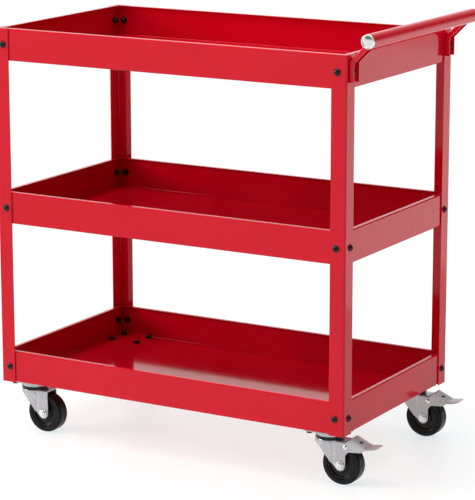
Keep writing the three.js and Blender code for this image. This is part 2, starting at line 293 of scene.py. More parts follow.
# ------------------------------------------------------------------ materials
def material(name):
    m = bpy.data.materials.new(name)
    m.use_nodes = True
    nt = m.node_tree
    nt.nodes.clear()
    out = nt.nodes.new("ShaderNodeOutputMaterial")
    sh = nt.nodes.new("ShaderNodeBsdfPrincipled")
    nt.links.new(sh.outputs[0], out.inputs[0])
    co = nt.nodes.new("ShaderNodeTexCoord").outputs["Object"]
    return m, nt, sh, co


def noise(nt, co, scale, detail=3.0, rough=0.55, stretch=None):
    if stretch:
        mp = nt.nodes.new("ShaderNodeMapping")
        mp.inputs["Scale"].default_value = stretch
        nt.links.new(co, mp.inputs["Vector"])
        co = mp.outputs[0]
    n = nt.nodes.new("ShaderNodeTexNoise")
    n.inputs["Scale"].default_value = scale
    n.inputs["Detail"].default_value = detail
    n.inputs["Roughness"].default_value = rough
    nt.links.new(co, n.inputs["Vector"])
    return n.outputs["Fac"]


def remap(nt, fac, lo, hi, a=0.3, b=0.7):
    r = nt.nodes.new("ShaderNodeMapRange")
    r.inputs["From Min"].default_value, r.inputs["From Max"].default_value = a, b
    r.inputs["To Min"].default_value, r.inputs["To Max"].default_value = lo, hi
    r.clamp = True
    nt.links.new(fac, r.inputs["Value"])
    return r.outputs["Result"]


def mix(nt, fac, a, b):
    m = nt.nodes.new("ShaderNodeMix")
    m.data_type = "RGBA"
    nt.links.new(fac, m.inputs[0])
    for socket, value in ((m.inputs[6], a), (m.inputs[7], b)):
        if isinstance(value, (tuple, list)):
            socket.default_value = (*value, 1)
        else:
            nt.links.new(value, socket)
    return m.outputs[2]


def bump(nt, sh, heights, chain=None):
    normal = chain
    for height, strength, distance in heights:
        b = nt.nodes.new("ShaderNodeBump")
        b.inputs["Strength"].default_value = strength
        b.inputs["Distance"].default_value = distance * MM
        nt.links.new(height, b.inputs["Height"])
        if normal is not None:
            nt.links.new(normal, b.inputs["Normal"])
        normal = b.outputs[0]
    nt.links.new(normal, sh.inputs["Normal"])


def red_paint():
    m, nt, sh, co = material("red_powder_coat")
    tone = mix(nt, remap(nt, noise(nt, co, 7, 4), 0, 1), (0.575, 0.0010, 0.0135), (0.625, 0.0015, 0.0165))
    fleck = mix(nt, remap(nt, noise(nt, co, 1400, 2), 0, 0.16, 0.5, 0.75), tone, (0.46, 0.001, 0.009))
    nt.links.new(fleck, sh.inputs["Base Color"])
    nt.links.new(remap(nt, noise(nt, co, 60, 4), 0.07, 0.12), sh.inputs["Roughness"])
    bump(nt, sh, [(noise(nt, co, 420, 2), 0.04, 0.2), (noise(nt, co, 1700, 1), 0.02, 0.06)])
    sh.inputs["IOR"].default_value = 1.5
    sh.inputs["Specular IOR Level"].default_value = 0.27
    return m


def zinc(name="zinc_plate", rough=(0.22, 0.3), tint=1.0, metal=0.68):
    m, nt, sh, co = material(name)
    a = (0.47 * tint, 0.475 * tint, 0.485 * tint)
    b = (0.43 * tint, 0.435 * tint, 0.45 * tint)
    tone = mix(nt, remap(nt, noise(nt, co, 45, 4), 0, 1), a, b)
    warm = mix(nt, remap(nt, noise(nt, co, 24, 3), 0, 0.25, 0.52, 0.75), tone, (0.49 * tint, 0.475 * tint, 0.44 * tint))
    nt.links.new(warm, sh.inputs["Base Color"])
    nt.links.new(remap(nt, noise(nt, co, 110, 4), rough[0], rough[1]), sh.inputs["Roughness"])
    bump(nt, sh, [(noise(nt, co, 70, 1), 0.06, 0.12)])
    sh.inputs["Metallic"].default_value = metal
    return m


def chrome():
    m, nt, sh, co = material("cap_chrome")
    tone = mix(nt, remap(nt, noise(nt, co, 120, 4), 0, 1), (0.80, 0.81, 0.80), (0.70, 0.715, 0.71))
    nt.links.new(tone, sh.inputs["Base Color"])
    nt.links.new(remap(nt, noise(nt, co, 400, 4), 0.14, 0.22), sh.inputs["Roughness"])
    bump(nt, sh, [(noise(nt, co, 500, 2), 0.01, 0.03)])
    sh.inputs["Metallic"].default_value = 1.0
    return m


def black_oxide():
    m, nt, sh, co = material("black_oxide_steel")
    tone = mix(nt, remap(nt, noise(nt, co, 300, 4), 0, 1), (0.002, 0.002, 0.0025), (0.005, 0.0045, 0.005))
    nt.links.new(tone, sh.inputs["Base Color"])
    nt.links.new(remap(nt, noise(nt, co, 500, 4), 0.05, 0.1), sh.inputs["Roughness"])
    bump(nt, sh, [(noise(nt, co, 700, 3), 0.02, 0.04)])
    sh.inputs["Specular IOR Level"].default_value = 0.35
    return m


def tyre():
    m, nt, sh, co = material("tyre_rubber")
    tone = mix(nt, remap(nt, noise(nt, co, 80, 5), 0, 1), (0.006, 0.0055, 0.0065), (0.012, 0.011, 0.012))
    nt.links.new(tone, sh.inputs["Base Color"])
    nt.links.new(remap(nt, noise(nt, co, 220, 5), 0.2, 0.34), sh.inputs["Roughness"])
    bump(nt, sh, [(noise(nt, co, 900, 4), 0.08, 0.1), (noise(nt, co, 2600, 2), 0.05, 0.04)])
    sh.inputs["Specular IOR Level"].default_value = 0.14
    return m


def hub_plastic():
    m, nt, sh, co = material("hub_plastic")
    tone = mix(nt, remap(nt, noise(nt, co, 60, 4), 0, 1), (0.007, 0.006, 0.007), (0.014, 0.012, 0.013))
    nt.links.new(tone, sh.inputs["Base Color"])
    nt.links.new(remap(nt, noise(nt, co, 260, 4), 0.2, 0.32), sh.inputs["Roughness"])
    bump(nt, sh, [(noise(nt, co, 1300, 3), 0.07, 0.06)])
    sh.inputs["Specular IOR Level"].default_value = 0.22
    return m


def rubber():
    m, nt, sh, co = material("shoe_rubber")
    tone = mix(nt, remap(nt, noise(nt, co, 200, 4), 0, 1), (0.012, 0.012, 0.012), (0.026, 0.026, 0.027))
    nt.links.new(tone, sh.inputs["Base Color"])
    nt.links.new(remap(nt, noise(nt, co, 500, 4), 0.55, 0.75), sh.inputs["Roughness"])
    bump(nt, sh, [(noise(nt, co, 1500, 4), 0.2, 0.12)])
    return m


RED, ZINC, BRIGHT, CHROME = red_paint(), zinc(), zinc("bright_bolt", (0.1, 0.2), 1.6, 1.0), chrome()
PRESSED = zinc("pressed_zinc", (0.3, 0.4), 1.08, 0.28)
BLACK, TYRE, HUB, SHOE = black_oxide(), tyre(), hub_plastic(), rubber()

# ------------------------------------------------------------------ legs: bent angle with a smooth bend and broken edges
for corner, sx, sy in CORNERS:
    X, Y = FRAME_X, FRAME_Y
    pts = [(X - LEG_F, Y), (X - LEG_F, Y - LEG_T)]
    pts += arc(X - LEG_BEND, Y - LEG_BEND, LEG_BEND - LEG_T, 90, 0, 8)
    pts += [(X - LEG_T, Y - LEG_F), (X, Y - LEG_F)]
    pts += arc(X - LEG_BEND, Y - LEG_BEND, LEG_BEND, 0, 90, 12)
    s = Shell().add(*prism([(sx * x, sy * y) for x, y in pts], LEG_Z0, LEG_Z1), at=(XC, 0, 0))
    leg = settle(bevel(make("leg_angle_" + corner, s), 0.45, 2, 50))
    dress(leg, RED, "frame", ["leg_" + corner])

# ------------------------------------------------------------------ trays: one folded sheet each, mitred at the rim, with open corner seams
def tray_shell(z0, hx, hy, height):
    t, lip, rb, rt, flat = TRAY_T, TRAY_LIP, 2.6, 2.6, 14.0
    outer = [(flat, 0.0)] + [(rb - rb * math.sin(a), rb - rb * math.cos(a)) for a in [math.pi / 2 * i / 6 for i in range(7)]]
    outer += [(rt - rt * math.cos(a), height - rt + rt * math.sin(a)) for a in [math.pi / 2 * i / 6 for i in range(7)]]
    outer += [(lip - 0.35, height), (lip, height - 0.35)]
    inner = [(lip, height - t + 0.35), (lip - 0.35, height - t)]
    ri = rt - t
    inner += [(rt - ri * math.cos(a), height - rt + ri * math.sin(a)) for a in [math.pi / 2 * i / 6 for i in range(6, -1, -1)]]
    ri = rb - t
    inner += [(rb - ri * math.sin(a), rb - ri * math.cos(a)) for a in [math.pi / 2 * i / 6 for i in range(6, -1, -1)]]
    inner += [(flat, t)]
    path = outer + inner
    n = len(path)
    s = Shell()
    for axis in (0, 1):
        half, other = (hx, hy) if axis == 0 else (hy, hx)
        for side in (-1, 1):
            loops = []
            for end in (-1, 1):
                loop = []
                for d, h in path:
                    # the seam stays open over the walls and the rim, and closes where the floor begins
                    slit = 0.0 if d > flat - 1e-6 else (0.28 if h > rb + 0.1 or d < rb else 0.28 * (flat - d) / (flat - rb))
                    along = end * (half - d - slit)
                    across_ = side * (other - d)
                    loop.append((along, across_, z0 + h) if axis == 0 else (across_, along, z0 + h))
                loops.append(loop)
            v = loops[0] + loops[1]
            f = [(i, i + 1, n + i + 1, n + i) for i in range(n - 1)]
            # seam faces: the cut edge of the sheet, as quads between its outer and inner skins
            m = n // 2
            for base in (0, n):
                for i in range(m - 1):
                    f.append((base + i, base + i + 1, base + n - 2 - i, base + n - 1 - i))
            s.add(v, f, at=(XC, 0, 0))
    a, b = hx - flat, hy - flat
    for z in (0.0, t):
        s.add([(-a, -b, z0 + z), (a, -b, z0 + z), (a, b, z0 + z), (-a, b, z0 + z)], [(0, 1, 2, 3)], at=(XC, 0, 0))
    return s


for level in LEVELS:
    lo, hi = box_mm("tray_" + level)
    ob = make("pan_" + level, tray_shell(lo.z, (hi.x - lo.x) / 2, (hi.y - lo.y) / 2, hi.z - lo.z), weld=0.004)
    settle(ob, 40)
    dress(ob, RED, "frame", ["tray_" + level])

# ------------------------------------------------------------------ corner bolts: cross-recessed domed head outside, acorn nut inside
def hexagon(r):
    return [(r * math.cos(math.pi / 3 * i + math.pi / 6), r * math.sin(math.pi / 3 * i + math.pi / 6)) for i in range(6)]


def bolt_object(name, seat):
    inner = -(LEG_T + 0.3 + TRAY_T + 0.3)
    head = make(
        name + "_h",
        Shell().add(
            *lathe(
                [(0, seat + 4.75), (1.6, seat + 4.65), (3.0, seat + 4.3), (4.3, seat + 3.55), (5.2, seat + 2.5), (5.65, seat + 1.35), (6.2, seat + 1.05), (6.42, seat + 0.8), (6.42, seat + 0.15), (6.2, seat), (0, seat)],
                40,
            )
        ),
    )
    cross = [Shell().add(*prism([(-w, -l), (w, -l), (w, l), (-w, l)], seat + 2.7, seat + 8)) for w, l in ((0.62, 2.75), (2.75, 0.62))]
    carve(head, cross)
    rest = Shell()
    rest.add(*lathe([(0, seat + 0.1), (2.9, seat + 0.1), (2.9, inner - 1), (0, inner - 1)], 20))
    rest.add(*lathe([(2.95, inner), (6.6, inner), (6.7, inner - 0.1), (6.7, inner - 0.9), (6.55, inner - 1.05), (2.95, inner - 1.05)], 36, closed=True))
    nut = make(name + "_n", Shell().add(*prism(hexagon(6.4), inner - 4.6, inner - 1.0)))
    settle(bevel(nut, 0.35, 2, 40))
    dome = make(name + "_d", Shell().add(*lathe([(5.3 * math.sin(a), inner - 3.9 - 3.9 * math.cos(a)) for a in [math.pi / 2 * i / 8 for i in range(9)]] + [(5.3, inner - 3.6), (0, inner - 3.6)], 32)))
    body = make(name, rest)
    for extra in (head, nut, dome):
        bm = bmesh.new()
        bm.from_mesh(body.data)
        bm.from_mesh(extra.data)
        bm.to_mesh(body.data)
        bm.free()
        me = extra.data
        bpy.data.objects.remove(extra)
        bpy.data.meshes.remove(me)
    return settle(body, 30)


def axis_rot(direction, spin=0.0):
    return Vector((0, 0, 1)).rotation_difference(Vector(direction)).to_matrix() @ Matrix.Rotation(spin, 3, "Z")


bolt_master = {0.3: bolt_object("bolt_master", 0.3), 2.6: bolt_object("bolt_master_long", 2.6)}
for level in LEVELS:
    lo, hi = box_mm("tray_" + level)
    z = (lo.z + hi.z) / 2
    for corner, sx, sy in CORNERS:
        for face in ("side", "end"):
            seat = 2.6 if (face == "end" and level == "top" and sx > 0) else 0.3
            ob = copy_of(bolt_master[seat], f"corner_bolt_{level}_{corner}_{face}")
            spin = random.uniform(0, math.pi)
            if face == "side":
                place(ob, (XC + sx * (FRAME_X - BOLT_IN), sy * FRAME_Y, z), axis_rot((0, sy, 0), spin))
            else:
                place(ob, (XC + sx * FRAME_X, sy * (FRAME_Y - BOLT_IN), z), axis_rot((sx, 0, 0), spin))
            dress(ob, BLACK, "frame", [f"bolt_{level}_{corner}_{face}"])
for ob in bolt_master.values():
    me = ob.data
    bpy.data.objects.remove(ob)
    bpy.data.meshes.remove(me)

# ------------------------------------------------------------------ push handle
lo, hi = box_mm("handle_tube")
HX, HZ, HR = (lo.x + hi.x) / 2, (lo.z + hi.z) / 2, (hi.z - lo.z) / 2
HY = hi.y
TO_Y = Matrix.Rotation(-math.pi / 2, 3, "X")  # +Z to +Y
s = Shell().add(
    *lathe([(HR - 1.5, -HY), (HR - 0.35, -HY), (HR, -HY + 0.35), (HR, HY - 0.35), (HR - 0.35, HY), (HR - 1.5, HY)], 96, closed=True),
    at=(HX, 0, HZ),
    rot=TO_Y,
)
dress(settle(make("push_bar", s)), RED, "frame", ["handle_tube"])
for end, sy in (("front", -1), ("back", 1)):
    clo, chi = box_mm("handle_cap_" + end)
    out = chi.y - HY if sy > 0 else -HY - clo.y  # how far the cap stands proud of the tube
    profile = [(9.6 * i / 8, out - 0.15 - 1.2 * (i / 8) ** 2) for i in range(9)]
    profile += [(9.9, out - 1.45), (10.15, out - 1.2), (10.45, out - 0.5), (10.8, out - 0.3), (11.9, out - 0.3), (12.4, out - 0.55), (12.7, out - 1.0), (12.75, out - 1.6)]
    profile += [(12.75, 0.65), (12.5, 0.35), (10.9, 0.35), (10.8, -11.5), (10.2, -12), (0, -12)]
    s = Shell().add(*lathe(profile, 72), at=(HX, sy * HY, HZ), rot=axis_rot((0, sy, 0)))
    dress(settle(make("bar_end_cap_" + end, s)), CHROME, "frame", ["handle_cap_" + end])

BR_D, BR_T, BR_HALF, BR_R = 9.0, 2.0, 10.7, 2.2
for end, sy in (("front", -1), ("back", 1)):
    blo, bhi = box_mm("handle_bracket_" + end)
    x0, mid, zb = blo.x, (blo.y + bhi.y) / 2, 764.0
    # channel section: (depth outwards from the web, across)
    sec = [(BR_D, -BR_HALF)] + [(BR_R - BR_R * math.sin(a), -BR_HALF + BR_R - BR_R * math.cos(a)) for a in [math.pi / 2 * i / 5 for i in range(6)]]
    sec += [(BR_R - BR_R * math.cos(a), BR_HALF - BR_R + BR_R * math.sin(a)) for a in [math.pi / 2 * i / 5 for i in range(6)]] + [(BR_D, BR_HALF)]
    ri, hi_ = 0.4, BR_HALF - BR_T
    sec += [(BR_D, hi_)] + [(BR_T + ri - ri * math.cos(a), hi_ - ri + ri * math.sin(a)) for a in [math.pi / 2 * i / 3 for i in range(3, -1, -1)]]
    sec += [(BR_T + ri - ri * math.sin(a), -hi_ + ri - ri * math.cos(a)) for a in [math.pi / 2 * i / 3 for i in range(3, -1, -1)]] + [(BR_D, -hi_)]
    r = 13.0
    stations = [((x0, blo.z), (1.0, 0.0)), ((x0, blo.z + 1.0), (1.0, 0.0))]
    zs = zb - r * math.tan(math.pi / 8)
    for i in range(9):
        a = math.pi / 4 * i / 8
        stations.append(((x0 + r - r * math.cos(a), zs + r * math.sin(a)), (math.cos(a), -math.sin(a))))
    (ex, ez), (nx, nz) = stations[-1]
    run = math.hypot(HX - ex, HZ - ez) - 6
    stations.append(((ex + run * 0.7071, ez + run * 0.7071), (nx, nz)))
    loops = [[(px + n[0] * d, mid + y, pz + n[1] * d) for d, y in sec] for (px, pz), n in stations]
    ob = make("handle_channel_" + end, Shell().add(*loft(loops)))
    carve(ob, [Shell().add(*lathe([(0, -60), (HR + 0.05, -60), (HR + 0.05, 60), (0, 60)], 96), at=(HX, mid, HZ), rot=TO_Y)])
    settle(bevel(ob, 0.3, 2, 55), 35)
    dress(ob, RED, "frame", ["handle_bracket_" + end])
    # weld bead where the channel meets the tube
    bead = []
    ring = [p for p in sec[: 14]]
    dense = []
    for (d0, y0), (d1, y1) in zip(ring, ring[1:]):
        k = max(1, int(math.hypot(d1 - d0, y1 - y0) / 0.8))
        dense += [(d0 + (d1 - d0) * j / k, y0 + (y1 - y0) * j / k) for j in range(k)]
    dense.append(ring[-1])
    for d, y in dense:
        px, pz = ex + nx * d, ez + nz * d
        qx, qz = px - HX, pz - HZ
        u = 0.70710678
        bq = u * (qx + qz)
        disc = bq * bq - (qx * qx + qz * qz - HR * HR)
        tt = -bq - math.sqrt(max(disc, 0.0))
        bead.append(Vector((px + u * tt, mid + y, pz + u * tt)))
    loops = []
    for i, p in enumerate(bead):
        tan = (bead[min(i + 1, len(bead) - 1)] - bead[max(i - 1, 0)]).normalized()
        radial = (p - Vector((HX, p.y, HZ))).normalized()
        side = tan.cross(radial).normalized()
        up = side.cross(tan).normalized()
        fat = 1.25 + 0.22 * math.sin(i * 1.9) + 0.12 * math.sin(i * 5.3 + 1)
        if i in (0, len(bead) - 1):
            fat *= 0.55
        loops.append([p + (side * math.cos(a) + up * math.sin(a)) * fat for a in [2 * math.pi * k / 12 for k in range(12)]])
    ob = make("weld_bead_" + end, Shell().add(*loft(loops)))
    m = ob.modifiers.new("soft", "SUBSURF")
    m.levels = m.render_levels = 1
    dress(settle(ob, 60), RED, "frame")

# ------------------------------------------------------------------ casters
TRAIL, WHEEL_R, WHEEL_HALF = 28.5, 37.5, 12.5
CROWN = 82.0
PIVOT = (40.0, 73.0)
TO_X = {-1: axis_rot((0, -1, 0)), 1: axis_rot((0, 1, 0))}


def offset_path(path, d):
    """An open plan path moved to its inner side by d; the path runs from -Y round the nose to +Y."""
    out = []
    for i, p in enumerate(path):
        a, b = Vector(path[max(i - 1, 0)]), Vector(path[min(i + 1, len(path) - 1)])
        t = (b - a).normalized()
        n = Vector((t.y, -t.x))  # right of the direction of travel
        out.append((p[0] + n.x * d, p[1] + n.y * d))
    return out


def fork_plan(far):
    half = [(far, 16.0), (30.0, 16.0), (19.6, 16.0), (18.6, 15.95), (17.6, 15.7), (16.6, 15.3), (15.6, 15.05), (14.6, 15.0), (9.0, 14.75), (4.6, 14.5), (3.6, 14.4)]
    cx, a, b = 3.0, 32.5, 14.3
    nose = [(cx - a * math.sin(t), b * math.cos(t)) for t in [math.pi * (i + 0.35) / 26 for i in range(26)]]
    nose = [p for p in nose if abs(p[1]) < 14.25]
    lower = [(x, -y) for x, y in half]
    upper = list(reversed(half))
    nose = sorted(nose, key=lambda p: p[1])
    return lower + nose + upper


def fork_side(braked):
    left = smooth_path([(-34, 90), (-33, 76.5), (-19, 68.5), (-6, 55.5), (9, 40.5), (19.2, 32.6)], [3, 14, 30, 30])
    boss = arc(TRAIL, WHEEL_R, 10.4, 208, 352, 18)
    if braked:
        right = smooth_path([(38.9, 37.5), (38.9, 57.6), (46, 65), (47, 72), (45, 79), (39, 80.2), (38, 90)], [9, 4, 4, 3, 1])
    else:
        right = smooth_path([(38.9, 37.5), (38.9, 60), (37.5, 90)], [30])
    return left + boss + right


def fork_object(name, braked):
    def body(far, inset, top, fillet, bottom):
        plan = offset_path(fork_plan(far), inset)
        loops = [[(x, y, bottom) for x, y in plan]]
        for i in range(6):
            a = math.pi / 2 * i / 5
            ring = offset_path(plan, fillet * (1 - math.cos(a)))
            loops.append([(x, y, top - fillet + fillet * math.sin(a)) for x, y in ring])
        return Shell().add(*loft(loops))

    ob = make(name, body(50, 0, CROWN, 2.8, 24))
    carve(ob, [body(62, 2.2, CROWN - 2.2, 1.2, 18)])
    side = make("side", Shell().add(*slab(fork_side(braked), -24, 24)))
    m = ob.modifiers.new("profile", "BOOLEAN")
    m.operation, m.solver, m.object = "INTERSECT", "EXACT", side
    settle(ob)
    me = side.data
    bpy.data.objects.remove(side)
    bpy.data.meshes.remove(me)
    tidy(ob, 0.08)
    settle(bevel(ob, 0.35, 2, 55), 30)
    tidy(ob, 0.02)
    return settle(ob, 30)


def fork_ribs(name, braked):
    """Pressed stiffening ribs on the outside of the fork's cheeks, ended by the cheeks' own outline."""
    s = Shell()
    for sy in (-1, 1):
        loops = []
        for z, k in ((24.0, 1.0), (60.0, 1.0), (73.0, 1.0), (75.5, 0.8), (77.0, 0.45), (77.8, 0.05)):
            w, h = 3.3 * (0.55 + 0.45 * k), 1.15 * k
            ring = [(8.3 + w * math.cos(t), sy * (14.35 + h * math.sin(t) ** 1.2), z) for t in [math.pi * i / 10 for i in range(11)]]
            loops.append(ring + [(8.3 - w, sy * 13.6, z), (8.3 + w, sy * 13.6, z)])
        s.add(*loft(loops))
    ob = make(name, s)
    side = make("side", Shell().add(*slab([(x, z - 0.0) for x, z in fork_side(braked)], -24, 24)))
    m = ob.modifiers.new("profile", "BOOLEAN")
    m.operation, m.solver, m.object = "INTERSECT", "EXACT", side
    settle(ob)
    me = side.data
    bpy.data.objects.remove(side)
    bpy.data.meshes.remove(me)
    return settle(ob, 35)


def joined(name, shells, sharp=30):
    """One mesh of several closed solids."""
    s = Shell()
    for v, f, at, rot in shells:
        s.add(v, f, at, rot)
    return settle(make(name, s), sharp)


def crown_object(name):
    v, f = lathe(
        [(7.0, 79.6), (23.6, 79.6), (24.6, 80.0), (25, 80.8), (25, 81.6), (24.7, 82.2), (24.0, 82.5), (23.2, 82.7), (23.0, 83.0), (23.0, 86.6), (22.7, 87.3), (22.0, 87.7), (17.5, 87.7), (16.6, 87.3), (16.2, 86.4), (15.6, 84.4), (14.8, 83.6), (7.0, 83.4)],
        96,
        closed=True,
    )
    return joined(name, [(v, f, (0, 0, 0), None)])


def plate_object(name):
    ob = make(name, Shell().add(*prism(rounded_rect(39, 33, 7, 10), 96.2, 98.7)))
    settle(bevel(ob, 0.6, 2, 50))
    cup = make(
        name + "_cup",
        Shell().add(*lathe([(0, 97), (28.0, 97), (28.0, 96.3), (26.9, 95.9), (26.2, 95.1), (26.0, 94.0), (26.0, 90.0), (25.6, 88.9), (24.8, 88.3), (22, 88.2), (0, 88.2)], 96)),
    )
    m = ob.modifiers.new("cup", "BOOLEAN")
    m.operation, m.solver, m.object = "UNION", "EXACT", cup
    settle(ob, 30)
    me = cup.data
    bpy.data.objects.remove(cup)
    bpy.data.meshes.remove(me)
    return ob


def kingpin_object(name):
    v, f = lathe([(0, 75.9), (4.0, 76.0), (7.2, 76.5), (9.2, 77.4), (10, 78.6), (9.9, 79.2), (6.0, 79.3), (6.0, 88.1), (0, 88.1)], 48)
    return joined(name, [(v, f, (0, 0, 0), None)])


# A black ring around the raceway under the plate. It is painted shade: a dark piece that fills the shaded gap between
# the mounting plate and the fork crown.
def shade_ring_object(name):
    v, f = lathe([(23.5, 87.9), (23.4, 84.2), (23.6, 83.4), (24.4, 83.1), (25.3, 83.4), (25.7, 84.2), (25.4, 85.4), (25.8, 86.4), (25.8, 87.6), (25.4, 88.05)], 96, closed=True)
    return joined(name, [(v, f, (0, 0, 0), None)])


def mount_bolts_object(name):
    """Four bolts through the plate and the tray: flanged heads below, domed nuts above the tray floor."""
    deck = 100.2
    parts = []
    for sx in (-1, 1):
        for sy in (-1, 1):
            at = (sx * 29.5, sy * 23, 0)
            spin = Matrix.Rotation(random.uniform(0, 1), 3, "Z")
            hexv, hexf = prism(hexagon(5.6), 91.5, 95.4)
            bm = bmesh.new()
            vs = [bm.verts.new(p) for p in hexv]
            for q in hexf:
                bm.faces.new([vs[i] for i in q])
            bmesh.ops.recalc_face_normals(bm, faces=bm.faces)
            bmesh.ops.bevel(bm, geom=bm.edges[:], offset=0.45, segments=2, profile=0.5, affect="EDGES", clamp_overlap=True)
            bm.verts.index_update()
            parts.append(([tuple(v.co) for v in bm.verts], [tuple(v.index for v in q.verts) for q in bm.faces], at, spin))
            bm.free()
            parts.append((*lathe([(0, 95.35), (5.7, 95.35), (5.8, 95.5), (5.8, 96.1), (0, 96.15)], 32), at, None))
            parts.append((*lathe([(2.9, deck + 0.05), (6.7, deck + 0.05), (6.8, deck + 0.2), (6.8, deck + 0.9), (6.65, deck + 1.05), (2.9, deck + 1.05)], 36, closed=True), at, None))
            parts.append((*lathe([(0, 95.9), (2.9, 95.9), (2.9, deck + 2), (0, deck + 2)], 16), at, None))
            bm = bmesh.new()
            hexv, hexf = prism(hexagon(6.5), deck + 1.0, deck + 4.7)
            vs = [bm.verts.new(p) for p in hexv]
            for q in hexf:
                bm.faces.new([vs[i] for i in q])
            bmesh.ops.recalc_face_normals(bm, faces=bm.faces)
            bmesh.ops.bevel(bm, geom=bm.edges[:], offset=0.4, segments=2, profile=0.5, affect="EDGES", clamp_overlap=True)
            bm.verts.index_update()
            parts.append(([tuple(v.co) for v in bm.verts], [tuple(v.index for v in q.verts) for q in bm.faces], at, spin))
            bm.free()
            parts.append((*lathe([(5.4 * math.sin(a), deck + 4.2 + 4.1 * math.cos(a)) for a in [math.pi / 2 * i / 8 for i in range(9)]] + [(5.4, deck + 3.8), (0, deck + 3.8)], 32), at, None))
    return joined(name, parts)


def tyre_object(name):
    half = [(27.4, 11.6), (27.9, 12.2), (28.8, 12.4), (29.5, 12.1), (30.1, 12.1), (30.7, 12.45), (32.4, 12.5), (33.5, 12.3)]
    half += [(33.6 + 3.9 * math.sin(a), 8.4 + 3.9 * math.cos(a)) for a in [math.pi / 2 * i / 8 for i in range(1, 9)]]
    half += [(37.5, 4.4), (37.47, 1.0), (37.32, 0.7)]
    profile = half + [(r, -w) for r, w in reversed(half)]
    v, f = lathe(profile, 128, closed=True)
    return joined(name, [(v, f, (0, 0, 0), TO_Y)], 40)


def hub_object(name):
    half = [(4.9, 13.2), (9.2, 13.2), (10.1, 13.0), (10.5, 12.4), (10.7, 9.6), (11.4, 9.0), (12.9, 8.9), (13.7, 9.1), (14.3, 9.0), (14.7, 8.3), (15.1, 7.4), (16.0, 7.0), (21.6, 7.0), (22.6, 7.4), (23.1, 8.3), (23.4, 10.4), (23.9, 11.2), (24.6, 11.5), (25.9, 11.5), (26.6, 11.1), (26.7, 10.4)]
    profile = half + [(r, -w) for r, w in reversed(half)]
    v, f = lathe(profile, 128, closed=True)
    return joined(name, [(v, f, (0, 0, 0), TO_Y)], 40)


def hex_solid(r, z0, z1, chamfer):
    bm = bmesh.new()
    hexv, hexf = prism(hexagon(r), z0, z1)
    vs = [bm.verts.new(p) for p in hexv]
    for q in hexf:
        bm.faces.new([vs[i] for i in q])
    bmesh.ops.recalc_face_normals(bm, faces=bm.faces)
    bmesh.ops.bevel(bm, geom=bm.edges[:], offset=chamfer, segments=2, profile=0.5, affect="EDGES", clamp_overlap=True)
    bm.verts.index_update()
    out = [tuple(v.co) for v in bm.verts], [tuple(v.index for v in q.verts) for q in bm.faces]
    bm.free()
    return out


def axle_object(name):
    """Flanged hexagon bolt with its head at -Y, washer and nut at +Y."""
    head, tail = TO_X[-1], TO_X[1]
    parts = [
        (*lathe([(0, -16.0), (4.0, -16.0), (4.0, 16.4), (0, 16.4)], 32), (0, 0, 0), head),
        (*lathe([(3.9, 16.25), (8.2, 16.25), (8.4, 16.5), (8.4, 17.3), (8.0, 17.75), (6.6, 18.1), (3.9, 18.1)], 48, closed=True), (0, 0, 0), head),
        (*hex_solid(6.7, 17.7, 20.6, 0.5), (0, 0, 0), head),
        (*lathe([(0, 21.3), (1.7, 21.25), (2.6, 20.95), (4.6, 20.9), (5.3, 20.5), (5.4, 20.0), (0, 20.0)], 40), (0, 0, 0), head),
        (*lathe([(3.9, 16.25), (7.2, 16.25), (7.3, 16.4), (7.3, 17.1), (7.1, 17.3), (3.9, 17.3)], 48, closed=True), (0, 0, 0), tail),
        (*hex_solid(7.2, 17.2, 21.1, 0.55), (0, 0, 0), tail),
        (*lathe([(0, 21.75), (3.2, 21.75), (3.8, 21.3), (3.8, 20.8), (0, 20.8)], 32), (0, 0, 0), tail),
    ]
    return joined(name, parts)


def drop_at(y, half, r):
    """How far the hood's top lies below its middle at y."""
    y = abs(y)
    d = 0.0
    # two pressed ridges along the hood
    for c, w, h in ((12.6, 1.1, 0.55), (9.4, 0.9, -0.35)):
        if abs(y - c) < w:
            d += -h * (0.5 + 0.5 * math.cos(math.pi * (y - c) / w))
    if y > half - r:
        k = min(1.0, (y - (half - r)) / r)
        d += r - r * math.sqrt(max(0.0, 1 - k * k))
    return d


def hood_shell(top, rest, half, r, stations):
    normals = []
    for i in range(len(top)):
        a, b = Vector(top[max(i - 1, 0)]), Vector(top[min(i + 1, len(top) - 1)])
        t = (b - a).normalized()
        normals.append(Vector((t.y, -t.x)))
    loops = []
    for y in stations:
        d = drop_at(y, half, r)
        loop = [(p[0] - n.x * d, y, p[1] - n.y * d) for p, n in zip(top, normals)]
        loop += [(x, y, z) for x, z in rest]
        loops.append(loop)
    return Shell().add(*loft(loops))


